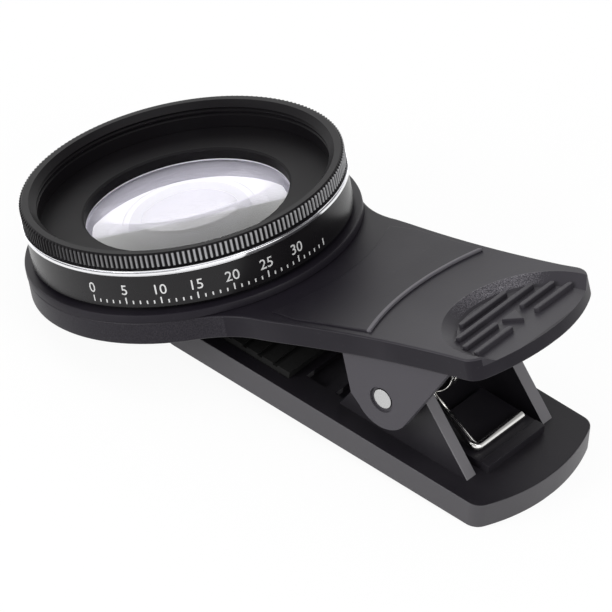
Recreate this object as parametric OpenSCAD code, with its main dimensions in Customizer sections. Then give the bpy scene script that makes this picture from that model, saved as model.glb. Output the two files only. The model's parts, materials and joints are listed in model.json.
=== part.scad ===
// Clip-on close-up lens for a phone: a sprung two-armed clip that carries a screwed-in lens.
// Millimetres. The clip stands closed on a table: z = 0 is the table, +x runs from the lens
// to the thumb end, and y = 0 is the plane of symmetry.

/* [Lens] */
// outside radius of the lens barrel
barrel_r = 19.9; // [18:0.1:22]
// height of the barrel's print band
barrel_h = 4.4; // [3:0.1:8]
// how far the bright trim ring stands out from the barrel
trim_out = 0.4; // [0:0.05:1]
// height of the bright trim ring
trim_h = 0.85; // [0.4:0.05:2]
// how far the knurled front ring stands out from the barrel
ring_out = 0.15; // [0:0.05:1]
// height of the knurled front ring above the trim
ring_h = 2.1; // [1.5:0.1:5]
// number of ribs in the front ring's knurling
knurl_count = 190; // [90:2:220]
// wall between the barrel's outside and the front filter thread (37 mm thread)
rim_wall = 1.8; // [1:0.1:3]
// clear radius of the front glass
glass_r = 12.7; // [9:0.1:15]
// radius of the stub that screws into the clip
stub_r = 8.5; // [7:0.1:10]

/* [Upper arm] */
// radius of the lens disc
disc_r = 20.75; // [19:0.05:24]
// height of the arm's side wall
arm_h = 3; // [2:0.1:5]
// height of the raised lip that the lens stands on
lip_h = 1.1; // [0.5:0.1:2]
// distance from the lens axis to the thumb end
thumb_x = 56.85; // [45:0.1:70]
// half width of the arm at its waist
waist_y = 11.6; // [9:0.05:15]
// radius of the thumb recess
recess_r = 10.6; // [7:0.1:12]
// depth of the thumb recess
recess_d = 0.8; // [0.3:0.1:1.5]

/* [Lower arm] */
// angle between the arms when the clip is closed
closed_angle = 20.5; // [15:0.05:28]
// height of the hinge above the lower arm's underside
hinge_h = 10.75; // [8:0.05:14]
// thickness of the lower arm's plate
plate_h = 3.5; // [2:0.1:5]
// half width of the lower arm
plate_y = 11; // [9:0.05:15]
// reach of the lower arm in front of the hinge
jaw_len = 34.2; // [25:0.1:45]
// reach of the lower arm behind the hinge
tail_len = 18.4; // [14:0.1:25]

/* [Hinge] */
// distance from the lens axis to the hinge pin
hinge_x = 36.9; // [30:0.1:42]
// distance from the disc's underside down to the hinge pin
hinge_drop = 6.15; // [5:0.1:9]
// radius of the hinge pin
pin_r = 1.35; // [0.8:0.05:2]
// running clearance of the pin in the upper ears
pin_gap = 0.05; // [0.02:0.01:0.1]
// outer face of the upper ears from the middle
upper_ear_y = 11; // [9:0.1:13]
// outer face of the lower ears from the middle
lower_ear_y = 8.2; // [6:0.05:10]
// thickness of each upper ear
ear_t = 1.3; // [0.8:0.1:2.5]
// thickness of each lower ear
lower_ear_t = 1.8; // [0.8:0.1:2.5]

/* [Spring] */
// radius of the spring wire
wire_r = 0.55; // [0.3:0.05:0.8]
// mean radius of the spring coil
coil_r = 3.6; // [2:0.1:5]
// number of coil turns
coil_turns = 4; // [2:1:7]

/* [Jaw pads] */
// thickness of the rubber ring under the disc
ring_pad_h = 0.55; // [0.3:0.05:2]
// thickness of the rubber pad on the lower jaw
jaw_pad_h = 1.45; // [0.6:0.05:2]
// length of the rubber pad on the lower jaw
jaw_pad_len = 17; // [8:0.5:24]

/* [Hidden] */
$fn = 96;
eps = 0.01;

// the clip rests on the disc's front edge and on the lower arm's tail
edge_c = 0.3;
tail_x = hinge_x + (tail_len - edge_c) * cos(closed_angle) - hinge_h * sin(closed_angle);
tail_z = -hinge_drop - (tail_len - edge_c) * sin(closed_angle) - hinge_h * cos(closed_angle);
rest_x = -disc_r + edge_c;
tilt = atan2(-tail_z, tail_x - rest_x);
lean = closed_angle - tilt;

// radii of the lens's outer rings and of its thread, all from the barrel
trim_r = barrel_r + trim_out;
ring_r = barrel_r + ring_out;
thread_r = barrel_r - rim_wall;

// heights in the lens's own axis, measured from the disc's underside
lip_z = arm_h + lip_h;
foot_h = 0.45;
body_z = lip_z + foot_h;
trim_z = body_z + barrel_h;
ring_z = trim_z + trim_h;
top_z = ring_z + ring_h;
floor_h = 0.9;
floor_z = lip_z + floor_h;
slip = 0.05;
baffle_drop = 0.5;
baffle_z = trim_z - baffle_drop;
baffle_h = 1.5;
lens_edge_h = 1;
lens_edge_z = baffle_z - baffle_h - lens_edge_h;
rear_seat_z = 2.6;
rear_edge_h = 0.8;
rim_w = 1.5;
lens_r = glass_r + rim_w;
bevel_w = 0.6;
bed_r = lens_r + 1.2;
cell_r = thread_r + 0.25;
stub_wall = 0.7;
rear_rim_w = 0.8;
rear_cell_r = stub_r - stub_wall;
stub_bore_r = rear_cell_r - rear_rim_w;

// the middle of the whole clip lies over the row's origin
lens_low_x = -ring_r * cos(tilt) - (top_z - 0.2) * sin(tilt);
shift_x = -(lens_low_x - rest_x * cos(tilt) + tail_plan_x() - rest_x * cos(tilt)) / 2;
function tail_plan_x() = max(thumb_x * cos(tilt), tail_x * cos(tilt) - tail_z * sin(tilt) + edge_c);

// outlines as arcs
function arc(x, y, r, a0, a1, n) = [for (i = [0:n]) let (a = a0 + (a1 - a0) * i / n) [x + r * cos(a), y + r * sin(a)]];
function mirrored(pts) = [for (i = [len(pts) - 1:-1:0]) [pts[i][0], -pts[i][1]]];

// the arm's sides are long shallow arcs, its end a rounder one with small corners
side_bow = 187;
end_bow = 27;
corner_r = 2;
fillet_r = 5;
side_mid_x = 42.5;
corner_in = 3.5;
function side_y(x) = waist_y + side_bow - sqrt(side_bow * side_bow - pow(x - side_mid_x, 2));
neck_in = 1.75;
neck_y = side_y(disc_r - neck_in);
neck_r = disc_r - 0.15;
neck_x = sqrt(pow(neck_r + fillet_r, 2) - pow(neck_y + fillet_r, 2));
neck_a = 180 + atan2(neck_y + fillet_r, neck_x);
corner_y = side_y(thumb_x - corner_in) - corner_r;
corner_x = thumb_x - end_bow + sqrt(pow(end_bow - corner_r, 2) - corner_y * corner_y);
end_a = asin(corner_y / (end_bow - corner_r));

// the arm behind the disc, d smaller all round; its first points lie inside the disc
module arm_plan(d = 0) {
    half = concat([[0, disc_r / 2]], arc(neck_x, neck_y + fillet_r, fillet_r + d, neck_a, 270, 6),
                  [for (i = [1:8]) let (x = neck_x + (corner_x - neck_x) * i / 9) [x, side_y(x) - d]],
                  arc(corner_x, corner_y, corner_r - d, 90, end_a, 5),
                  arc(thumb_x - end_bow, 0, end_bow - d, end_a * 0.9, end_a * 0.1, 5));
    polygon(concat(half, mirrored(half)));
}

tail_corner_y = plate_y - corner_r;
tail_bow = 25;
tail_corner_x = tail_len - tail_bow + sqrt(pow(tail_bow - corner_r, 2) - tail_corner_y * tail_corner_y);
tail_a = asin(tail_corner_y / (tail_bow - corner_r));
jaw_corner = 5;

module plate_plan(d = 0) {
    half = concat(arc(-jaw_len + jaw_corner, plate_y - jaw_corner, jaw_corner - d, 180, 90, 8),
                  arc(tail_corner_x, tail_corner_y, corner_r - d, 90, tail_a, 5),
                  arc(tail_len - tail_bow, 0, tail_bow - d, tail_a * 0.9, tail_a * 0.1, 5));
    polygon(concat(half, mirrored(half)));
}

// frames: the upper arm's own axes, and the lower arm's axes with the hinge at their origin
module in_upper() translate([shift_x - rest_x * cos(tilt), 0, -rest_x * sin(tilt)]) rotate([0, -tilt, 0]) children();
module in_lower() in_upper() translate([hinge_x, 0, -hinge_drop]) rotate([0, closed_angle, 0]) children();

module y_rod(r, y0, y1) translate([0, y0, 0]) rotate([-90, 0, 0]) cylinder(r = r, h = y1 - y0);

// lower arm: plate, two ears that hold the pin, seat and stop for the spring's leg
ear_boss_r = 3.8;
ear_foot_x = 11.9;
ear_front_x = -8;
ear_root = 1;
plate_top = plate_h - hinge_h;
seat_h = 0.9;
seat_x = 3;
spring_seat_z = plate_top + seat_h;
leg_x = 10.4;
leg_y = 4.4;
leg_side = 1;
stop_x = leg_x + 2 * wire_r;
stop_w = 1.4;
stop_h = 0.6;
pad_margin = 2;
pad_sink = 0.6;
groove_w = 0.7;
groove_d = 0.3;
groove_step = 2.4;
slot_first = -14;
slot_w = 3;
slot_step = 4.5;
slot_d = 0.8;
slot_y = plate_y - 4;
bed_w = 2 * (plate_y - pad_margin);

module ear_profile(r) polygon(concat(
    [[ear_front_x, plate_top - ear_root], [ear_front_x, plate_top]], arc(0, 0, r, 138, 41, 10),
    [[ear_foot_x, plate_top], [ear_foot_x, plate_top - ear_root]]));

module lower_arm() color([0.07, 0.07, 0.075]) in_lower() difference() {
    union() {
        translate([0, 0, -hinge_h]) linear_extrude(edge_c) plate_plan(edge_c);
        translate([0, 0, -hinge_h + edge_c]) linear_extrude(plate_h - 2 * edge_c) plate_plan();
        translate([0, 0, plate_top - edge_c]) linear_extrude(edge_c) plate_plan(edge_c);
        for (s = [-1, 1]) translate([0, s * (lower_ear_y - lower_ear_t / 2) + lower_ear_t / 2, 0])
            rotate([90, 0, 0]) linear_extrude(lower_ear_t) ear_profile(ear_boss_r);
        translate([seat_x, -leg_y - leg_side, plate_top - eps])
            cube([stop_x - seat_x + eps, 2 * (leg_y + leg_side), seat_h + eps]);
        translate([stop_x, -leg_y - leg_side, plate_top - eps])
            cube([stop_w, 2 * (leg_y + leg_side), seat_h + stop_h]);
    }
    y_rod(pin_r, -plate_y, plate_y);
    translate([-jaw_len + pad_margin, -bed_w / 2, plate_top - pad_sink]) cube([jaw_pad_len, bed_w, pad_sink + 1]);
    for (i = [0:2]) translate([slot_first + i * slot_step, -slot_y, plate_top - slot_d])
        cube([slot_w, 2 * slot_y, slot_d + 1]);
}

module lower_jaw_pad() color([0.05, 0.05, 0.05]) in_lower()
    translate([-jaw_len + pad_margin, -bed_w / 2, plate_top - pad_sink]) difference() {
        cube([jaw_pad_len, bed_w, jaw_pad_h]);
        for (x = [groove_step:groove_step:jaw_pad_len - groove_step]) translate([x, -1, jaw_pad_h - groove_d])
            cube([groove_w, bed_w + 2, 1]);
    }

pin_in = 0.15;
pin_end_y = upper_ear_y - pin_in;
module hinge_pin() color([0.8, 0.8, 0.8]) in_lower() y_rod(pin_r, -pin_end_y, pin_end_y);

// spring: stacked rings of wire round the pin, one leg to each arm
coil_pitch = 2 * wire_r + 0.12;
coil_half = (coil_turns - 1) * coil_pitch / 2;
leg_z = spring_seat_z + wire_r;
under_d = 1.2;
leg_gap = 0.1;
upper_leg_h = hinge_drop - wire_r + under_d - leg_gap;
upper_leg = 9;
module wire(p, q) let (d = q - p, l = norm(d))
    translate(p) rotate([0, acos(d[2] / l), atan2(d[1], d[0])]) cylinder(r = wire_r, h = l, $fn = 12);
module bend(p) translate(p) sphere(wire_r * 1.03, $fn = 24);
module torsion_spring() color([0.75, 0.75, 0.73]) in_lower() {
    for (i = [0:coil_turns - 1]) translate([0, -coil_half + i * coil_pitch, 0]) rotate([90, 0, 0])
        rotate_extrude() translate([coil_r, 0]) circle(wire_r, $fn = 20);
    for (i = [0:coil_turns - 2]) translate([0, -coil_half + (i + 0.5) * coil_pitch, coil_r]) rotate([90, 0, 0])
        cylinder(r = wire_r * 0.8, h = coil_pitch, center = true);
    a = [1.3, -coil_half + 0.05, -coil_r + 0.3];
    b = [leg_x, -leg_y, leg_z];
    c = [leg_x, leg_y, leg_z];
    wire(a, b); bend(b); wire(b, c); bend(c);
    e = [sin(closed_angle) * upper_leg_h + cos(closed_angle) * upper_leg, coil_half,
         cos(closed_angle) * upper_leg_h - sin(closed_angle) * upper_leg];
    wire([0.3, coil_half - 0.05, coil_r - 0.25], e);
    bend(e);
}

// upper arm: lens disc, neck, raised panel, thumb recess with ridges, two ears
recess_in = 3.6;
recess_x = thumb_x - recess_in;
ridge_w = 0.9;
ridge_h = 0.35;
// each ridge's distance from the thumb end and its half length
ridges = [[10.95, 4.4], [9.05, 7.2], [6.85, 9], [4.55, 9.6]];
recess_floor = arm_h - recess_d;
panel_gap = 3.85;
panel_h = 0.25;
panel_back = 6.45;
panel_x = recess_x - recess_r - panel_back;
panel_len = 20;
panel_bow = 34;
panel_in = 1;
upper_ear_r = 4.2;
upper_ear_front = 4.9;
upper_ear_foot = 12.4;
upper_ear_root = 0.5;
boss_r = 2.5;
boss_gap = 0.1;
under_side = 0.2;
under_y = upper_ear_y - ear_t - under_side;
under_front = 12.4;
under_x = hinge_x - under_front;
under_len = 28;
rib_w = 1;
rib_first = 5.5;
rib_step = 6;

module recess_plan() {
    translate([recess_x, 0]) circle(recess_r);
    translate([recess_x, -recess_r]) square([2 * recess_in, 2 * recess_r]);
}

module panel_plan() difference() {
    intersection() {
        arm_plan(panel_in);
        translate([panel_x - panel_len, -disc_r]) square([2 * panel_len, 2 * disc_r]);
    }
    circle(disc_r + panel_gap);
    translate([panel_x + panel_bow, 0]) circle(panel_bow);
}

module upper_ear_profile() polygon(concat(
    [[hinge_x - upper_ear_front, upper_ear_root], [hinge_x - upper_ear_front, -hinge_drop]],
    arc(hinge_x, -hinge_drop, upper_ear_r, 200, 318, 12),
    [[hinge_x + upper_ear_foot, 0], [hinge_x + upper_ear_foot, upper_ear_root]]));

module upper_arm() color([0.07, 0.07, 0.075]) in_upper() difference() {
    union() {
        linear_extrude(edge_c) arm_plan(edge_c);
        translate([0, 0, edge_c]) linear_extrude(arm_h - 2 * edge_c) arm_plan();
        translate([0, 0, arm_h - edge_c]) linear_extrude(edge_c) arm_plan(edge_c * 0.8);
        translate([0, 0, arm_h - eps]) linear_extrude(panel_h) panel_plan();
        rotate_extrude() polygon([[stub_r, 0], [disc_r - edge_c, 0], [disc_r, edge_c], [disc_r + 0.12, arm_h - 0.1],
            [disc_r - 0.1, arm_h], [disc_r + 0.1, arm_h + 0.1], [disc_r + 0.1, lip_z - 0.25], [disc_r - 0.15, lip_z],
            [stub_r, lip_z]]);
        for (s = [-1, 1]) {
            translate([0, s * (upper_ear_y - ear_t / 2) + ear_t / 2, 0]) rotate([90, 0, 0])
                linear_extrude(ear_t) upper_ear_profile();
            translate([hinge_x, 0, -hinge_drop]) y_rod(boss_r,
                s > 0 ? lower_ear_y + boss_gap : -upper_ear_y + ear_t / 2,
                s > 0 ? upper_ear_y - ear_t / 2 : -lower_ear_y - boss_gap);
        }
    }
    translate([0, 0, -1]) cylinder(r = stub_r, h = lip_z + 2);
    translate([hinge_x, 0, -hinge_drop]) y_rod(pin_r + pin_gap, -upper_ear_y - 1, upper_ear_y + 1);
    difference() {
        translate([under_x, -under_y, -1]) cube([under_len, 2 * under_y, under_d + 1]);
        for (i = [0:2]) translate([under_x + rib_first + i * rib_step, -under_y, -1]) cube([rib_w, 2 * under_y, under_d + 2]);
        translate([under_x, -rib_w / 2, -1]) cube([under_len, rib_w, under_d + 2]);
    }
    difference() {
        translate([0, 0, recess_floor]) linear_extrude(recess_d + 1) recess_plan();
        for (r = ridges) translate([thumb_x - r[0] - ridge_w / 2, -r[1], 0])
            cube([ridge_w, 2 * r[1], recess_floor + ridge_h]);
    }
}

ring_pad_in = 2;
ring_pad_gap = 1.2;
module upper_jaw_pad() color([0.05, 0.05, 0.05]) in_upper() difference() {
    translate([0, 0, -ring_pad_h]) cylinder(r = disc_r - ring_pad_in, h = ring_pad_h);
    translate([0, 0, -ring_pad_h - 1]) cylinder(r = stub_r + ring_pad_gap, h = ring_pad_h + 2);
}

// lens stack, each piece turned about the lens axis
foot_in = 0.8;
step_h = 0.4;
module turned(pts) in_upper() rotate_extrude() polygon(pts);

module lens_barrel() color([0.06, 0.06, 0.065]) turned([
    [stub_bore_r, 0.3], [stub_r - 0.35, 0.3], [stub_r - slip, 0.6], [stub_r - slip, lip_z], [barrel_r - foot_in, lip_z],
    [barrel_r - foot_in, body_z], [barrel_r - 0.15, body_z], [barrel_r, body_z + 0.15], [barrel_r, trim_z],
    [cell_r, trim_z], [cell_r, lens_edge_z - step_h], [bed_r, lens_edge_z - step_h], [bed_r, floor_z],
    [rear_cell_r, floor_z], [rear_cell_r, rear_seat_z], [stub_bore_r, rear_seat_z]]);

module trim_ring() color([0.85, 0.85, 0.87]) turned([
    [cell_r, trim_z], [trim_r - 0.1, trim_z], [trim_r, trim_z + 0.08], [trim_r, trim_z + 0.5],
    [trim_r - 0.14, trim_z + 0.58], [trim_r - 0.14, trim_z + 0.62], [trim_r - 0.06, trim_z + 0.7],
    [trim_r - 0.12, ring_z], [cell_r, ring_z]]);

// front ring: a plain turned ring with straight knurling round its upper part
knurl_d = 0.22;
knurl_z = ring_z + 0.6;
root_r = ring_r - knurl_d;
module front_ring() color([0.06, 0.06, 0.065]) {
    turned([[thread_r, ring_z], [root_r - 0.35, ring_z], [root_r - 0.05, ring_z + 0.5], [root_r - 0.05, top_z - 0.1],
        [root_r - 0.15, top_z], [thread_r + 0.5, top_z], [thread_r, top_z - 0.5]]);
    in_upper() translate([0, 0, knurl_z]) linear_extrude(top_z - 0.15 - knurl_z) difference() {
        polygon([for (i = [0:2 * knurl_count - 1]) let (a = 180 * i / knurl_count, q = i % 2 == 0 ? ring_r : root_r)
            [q * cos(a), q * sin(a)]]);
        circle(thread_r + 0.6);
    }
}

module retaining_ring() color([0.06, 0.06, 0.065]) turned([
    [glass_r, baffle_z - baffle_h], [cell_r - slip, baffle_z - baffle_h], [cell_r - slip, baffle_z],
    [glass_r, baffle_z]]);

// lens faces are arcs of spheres, each as deep at its middle as its rise says
front_rise = 2.3;
back_gap = 0.05;
back_rise = lens_edge_z - floor_z - back_gap;
rear_rise = 0.8;
function cap(r, rise, z, s, n) = let (bow = (r * r + rise * rise) / (2 * rise)) [for (i = [0:n])
    let (x = r * (1 - i / n)) [x, z + s * (sqrt(bow * bow - x * x) - sqrt(bow * bow - r * r))]];

module front_lens() color([0.9, 0.95, 1, 0.4]) turned(concat(
    [[lens_r, lens_edge_z]], [[lens_r, lens_edge_z + lens_edge_h]],
    cap(glass_r - slip, front_rise, lens_edge_z + lens_edge_h, 1, 16),
    [for (i = [16:-1:0]) cap(lens_r - bevel_w, back_rise, lens_edge_z, -1, 16)[i]]));

module spacer_ring() color([0.1, 0.1, 0.1]) turned([
    [lens_r - bevel_w, floor_z], [bed_r - 2 * slip, floor_z], [bed_r - 2 * slip, lens_edge_z],
    [lens_r - bevel_w, lens_edge_z]]);

module rear_lens() color([0.9, 0.95, 1, 0.4]) turned(concat(
    [[rear_cell_r - slip, rear_seat_z]], [[rear_cell_r - slip, rear_seat_z + rear_edge_h]],
    cap(stub_bore_r, rear_rise, rear_seat_z + rear_edge_h, 1, 10), [[0, rear_seat_z]]));

retainer_low = 0.3;
module rear_retainer() color([0.1, 0.1, 0.1]) turned([
    [stub_bore_r, rear_seat_z + rear_edge_h], [rear_cell_r - slip, rear_seat_z + rear_edge_h],
    [rear_cell_r - slip, floor_z - retainer_low], [stub_bore_r, floor_z - retainer_low]]);

lower_arm();
lower_jaw_pad();
hinge_pin();
torsion_spring();
upper_arm();
upper_jaw_pad();
lens_barrel();
trim_ring();
front_ring();
retaining_ring();
front_lens();
spacer_ring();
rear_lens();
rear_retainer();
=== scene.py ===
# clip-on close-up lens for a phone, closed on a pale table
import bpy, bmesh, json, math
from mathutils import Matrix, Vector


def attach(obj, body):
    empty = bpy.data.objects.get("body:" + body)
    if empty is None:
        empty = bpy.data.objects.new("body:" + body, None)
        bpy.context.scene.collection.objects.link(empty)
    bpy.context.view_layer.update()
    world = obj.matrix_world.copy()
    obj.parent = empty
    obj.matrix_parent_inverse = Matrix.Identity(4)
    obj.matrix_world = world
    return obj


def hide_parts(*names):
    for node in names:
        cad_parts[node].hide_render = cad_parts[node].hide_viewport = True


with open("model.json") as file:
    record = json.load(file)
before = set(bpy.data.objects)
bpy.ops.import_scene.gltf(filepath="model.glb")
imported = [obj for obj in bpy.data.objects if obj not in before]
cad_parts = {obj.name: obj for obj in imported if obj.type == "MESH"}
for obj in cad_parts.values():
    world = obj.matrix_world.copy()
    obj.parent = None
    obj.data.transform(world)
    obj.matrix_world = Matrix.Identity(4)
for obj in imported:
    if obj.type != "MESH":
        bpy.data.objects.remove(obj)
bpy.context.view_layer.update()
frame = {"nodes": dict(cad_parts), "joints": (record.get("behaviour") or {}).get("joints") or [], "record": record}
mm = 0.001
scene = bpy.context.scene

# the joint and the filter thread's mount give the two arms' own axes
record = frame["record"]
hinge = Vector(frame["joints"][0]["pos_m"])
thread = [m for m in record["mounts"] if m["name"] == "filter_thread"][0]
axisDir = Vector(thread["axis"]).normalized()
tilt = math.atan2(-axisDir.x, axisDir.z)
clip = dict(hingeX=36.9, hingeDrop=6.15, closedAngle=20.5, hingeHeight=10.75)  # mm and degrees

turnUpper = Matrix.Rotation(-tilt, 4, "Y")
upperOrigin = hinge - turnUpper @ Vector((clip["hingeX"] * mm, 0, -clip["hingeDrop"] * mm))
toUpper = Matrix.Translation(upperOrigin) @ turnUpper
toLower = Matrix.Translation(hinge) @ Matrix.Rotation(math.radians(clip["closedAngle"]) - tilt, 4, "Y")


upper = dict(
    discRadius=20.8, height=3.0, edge=0.28, lipTop=4.1, lipRadius=20.87, lipStep=0.15, lipFoot=1.0, stubRadius=8.5,
    thumbX=56.8, endBow=20, nearBow=27, corner=2.8, nearCorner=2.2, sideBow=165, sideMidX=45, waist=11.6, fillet=13.0,
    neckX=22, cornerBack=3.5, panelRise=0.25, panelIn=1.0, panelX=35.1, panelBow=30, panelLensR=24.6,
    panelLeftY=11.2, panelRightY=10.7, panelFoot=0.6, panelEdge=0.14,
    beadHalf=0.17, beadRise=0.13, beadFoot=0.3, beadEdge=0.12,
    recessX=53.25, recessR=10.6, recessDepth=1.1, floorShrink=0.84, recessReach=12,
    ridgeRise=0.62, ridgeWidth=0.8, ridgeFoot=0.4, ridgeEdge=0.16,
    ridges=((45.9, 4.4), (47.8, 7.2), (50.0, 8.6), (52.3, 9.2)), splitFrom=49, splitHalf=2.2,
    arrow=((49.9, 1.3), (49.9, -1.3), (52.4, 0)), arrowShare=0.8, arrowEdge=0.1,
    pockets=((24.5, 30), (31, 36), (37, 42), (43, 52.5)), ribHalf=0.5, pocketDepth=1.2,
    earY=11.0, earThick=1.3, earFront=4.9, earRound=4.2, earBack=49.3, earRoot=0.6, earEdge=0.16,
    bossRadius=2.5, bossY=8.3, bossIn=0.55, boreRadius=1.4, sinkRadius=1.75, sinkDepth=0.33)


# modelling helpers; all their lengths are in mm
def only(obj):
    bpy.ops.object.select_all(action="DESELECT")
    obj.select_set(True)
    bpy.context.view_layer.objects.active = obj


def drawLine(name, points, closed=True):
    # one vertex, extruded from point to point
    bpy.ops.object.select_all(action="DESELECT")
    bpy.ops.mesh.primitive_plane_add(size=mm, location=(0, 0, 0))
    obj = bpy.context.active_object
    obj.name = name
    bpy.ops.object.mode_set(mode="EDIT")
    bpy.ops.mesh.select_all(action="SELECT")
    bpy.ops.mesh.merge(type="CENTER")
    spots = [Vector(p) * mm for p in points]
    bpy.ops.transform.translate(value=spots[0])
    for a, b in zip(spots, spots[1:]):
        bpy.ops.mesh.extrude_region_move(TRANSFORM_OT_translate=dict(value=b - a))
    if closed:
        bpy.ops.mesh.select_all(action="SELECT")
        bpy.ops.mesh.edge_face_add()
    bpy.ops.object.mode_set(mode="OBJECT")
    return obj


def raisePlan(name, plan, low, high, grow=1.0, centre=(0, 0)):
    # a flat outline in x and y, filled and raised from low to high
    obj = drawLine(name, [(x, y, low) for x, y in plan])
    bpy.ops.object.mode_set(mode="EDIT")
    bpy.ops.mesh.select_all(action="SELECT")
    bpy.ops.mesh.extrude_region_move(TRANSFORM_OT_translate=dict(value=(0, 0, (high - low) * mm)))
    if grow != 1.0:
        bpy.ops.transform.resize(value=(grow, grow, 1), center_override=(centre[0] * mm, centre[1] * mm, 0))
    bpy.ops.mesh.select_all(action="SELECT")
    bpy.ops.mesh.normals_make_consistent(inside=False)
    bpy.ops.object.mode_set(mode="OBJECT")
    return obj


def raiseSide(name, plan, low, high):
    # a flat outline in x and z, raised along y
    obj = drawLine(name, [(x, low, z) for x, z in plan])
    bpy.ops.object.mode_set(mode="EDIT")
    bpy.ops.mesh.select_all(action="SELECT")
    bpy.ops.mesh.extrude_region_move(TRANSFORM_OT_translate=dict(value=(0, (high - low) * mm, 0)))
    bpy.ops.mesh.select_all(action="SELECT")
    bpy.ops.mesh.normals_make_consistent(inside=False)
    bpy.ops.object.mode_set(mode="OBJECT")
    return obj


def turnProfile(name, profile, steps=180, closed=True):
    # a profile of radius and height, spun about the z axis
    loop = list(profile) + ([profile[0]] if closed else [])
    obj = drawLine(name, [(r, 0, z) for r, z in loop], closed=False)
    bpy.ops.object.mode_set(mode="EDIT")
    bpy.ops.mesh.select_all(action="SELECT")
    bpy.ops.mesh.spin(steps=steps, angle=math.tau, center=(0, 0, 0), axis=(0, 0, 1))
    bpy.ops.mesh.select_all(action="SELECT")
    bpy.ops.mesh.remove_doubles(threshold=0.002 * mm)
    bpy.ops.mesh.normals_make_consistent(inside=False)
    bpy.ops.object.mode_set(mode="OBJECT")
    return obj


def rod(name, radius, start, end, sides=48):
    # a round bar along y
    length = (end - start) * mm
    bpy.ops.object.select_all(action="DESELECT")
    bpy.ops.mesh.primitive_cylinder_add(vertices=sides, radius=radius * mm, depth=length,
                                        location=(0, start * mm + length / 2, 0), rotation=(math.pi / 2, 0, 0))
    obj = bpy.context.active_object
    obj.name = name
    bpy.ops.object.transform_apply(location=True, rotation=True, scale=True)
    return obj


def shift(obj, x=0, y=0, z=0):
    only(obj)
    bpy.ops.transform.translate(value=(x * mm, y * mm, z * mm))
    bpy.ops.object.transform_apply(location=True, rotation=True, scale=True)
    return obj


def soften(obj, width, segments=2, angle=40):
    only(obj)
    mod = obj.modifiers.new("soften", "BEVEL")
    mod.width, mod.segments = width * mm, segments
    mod.limit_method, mod.angle_limit = "ANGLE", math.radians(angle)
    mod.use_clamp_overlap = True
    bpy.ops.object.modifier_apply(modifier=mod.name)
    return obj


def combine(obj, tool, way="UNION"):
    only(obj)
    mod = obj.modifiers.new("combine", "BOOLEAN")
    mod.object, mod.operation, mod.solver = tool, way, "EXACT"
    bpy.ops.object.modifier_apply(modifier=mod.name)
    bpy.data.objects.remove(tool, do_unlink=True)
    return obj


def setDown(obj, matrix, body, slotName, *nodes, flatFaces=True):
    # put in place, place applied, shaded, and given to its body; large flat faces keep their own normals
    only(obj)
    obj.matrix_world = matrix @ obj.matrix_world
    bpy.ops.object.transform_apply(location=True, rotation=True, scale=True)
    bpy.ops.object.shade_smooth_by_angle(angle=math.radians(32))
    if flatFaces:
        mod = obj.modifiers.new("flatFaces", "WEIGHTED_NORMAL")
        mod.keep_sharp, mod.weight = True, 100
        bpy.ops.object.modifier_apply(modifier=mod.name)
    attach(obj, body)
    if nodes:
        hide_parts(*nodes)
    return obj


def arc(x, y, r, start, end, count):
    turn = [math.radians(start + (end - start) * i / count) for i in range(count + 1)]
    return [(x + r * math.cos(a), y + r * math.sin(a)) for a in turn]


def mirrorPlan(half):
    return half + [(x, -y) for x, y in reversed(half)]


def box(x1, x2, y1, y2):
    return [(x1, y1), (x2, y1), (x2, y2), (x1, y2)]


def paint(obj, mat):
    obj.data.materials.clear()
    obj.data.materials.append(mat)


# material helpers
def newGroup(name, inputs, outputs):
    group = bpy.data.node_groups.new(name, "ShaderNodeTree")
    for label, kind, value in inputs:
        sock = group.interface.new_socket(name=label, in_out="INPUT", socket_type=kind)
        sock.default_value = value
    for label, kind in outputs:
        group.interface.new_socket(name=label, in_out="OUTPUT", socket_type=kind)
    return group, group.nodes.new("NodeGroupInput"), group.nodes.new("NodeGroupOutput")


def maths(nodes, links, operation, *values, clamp=False):
    # a Math node, each value a number or another node's output
    node = nodes.new("ShaderNodeMath")
    node.operation, node.use_clamp = operation, clamp
    for sock, value in zip(node.inputs, values):
        if isinstance(value, (int, float)):
            sock.default_value = value
        else:
            links.new(value, sock)
    return node.outputs["Value"]


def ramp(nodes, links, value, low, high, start=0.0, end=1.0):
    # a Map Range node, from low..high to start..end
    node = nodes.new("ShaderNodeMapRange")
    for label, number in (("From Min", low), ("From Max", high), ("To Min", start), ("To Max", end)):
        node.inputs[label].default_value = number
    links.new(value, node.inputs["Value"])
    return node.outputs["Result"]


def noise(nodes, links, vector, scale, detail=2.0, roughness=0.5):
    # a Noise Texture node, its scale a number or another node's output
    node = nodes.new("ShaderNodeTexNoise")
    node.inputs["Detail"].default_value = detail
    node.inputs["Roughness"].default_value = roughness
    links.new(vector, node.inputs["Vector"])
    if isinstance(scale, (int, float)):
        node.inputs["Scale"].default_value = scale
    else:
        links.new(scale, node.inputs["Scale"])
    return node.outputs["Fac"]


def mixColour(nodes, links, factor, first, second):
    # a colour Mix node, each colour a tuple or another node's output
    node = nodes.new("ShaderNodeMix")
    node.data_type = "RGBA"
    links.new(factor, node.inputs["Factor"])
    for label, colour in (("A", first), ("B", second)):
        if isinstance(colour, tuple):
            node.inputs[label].default_value = (*colour, 1)
        else:
            links.new(colour, node.inputs[label])
    return node.outputs["Result"]


def distance(nodes, links, a, b):
    squares = [maths(nodes, links, "MULTIPLY", v, v) for v in (a, b)]
    return maths(nodes, links, "SQRT", maths(nodes, links, "ADD", *squares))


grainLook = dict(pitDetail=3, pitRough=0.65, slowScale=0.12)
dustLook = dict(cloudScale=90, cloudDetail=6, cloud=(0.45, 0.8), speckScale=700, speck=(0.12, 0.02))


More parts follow.
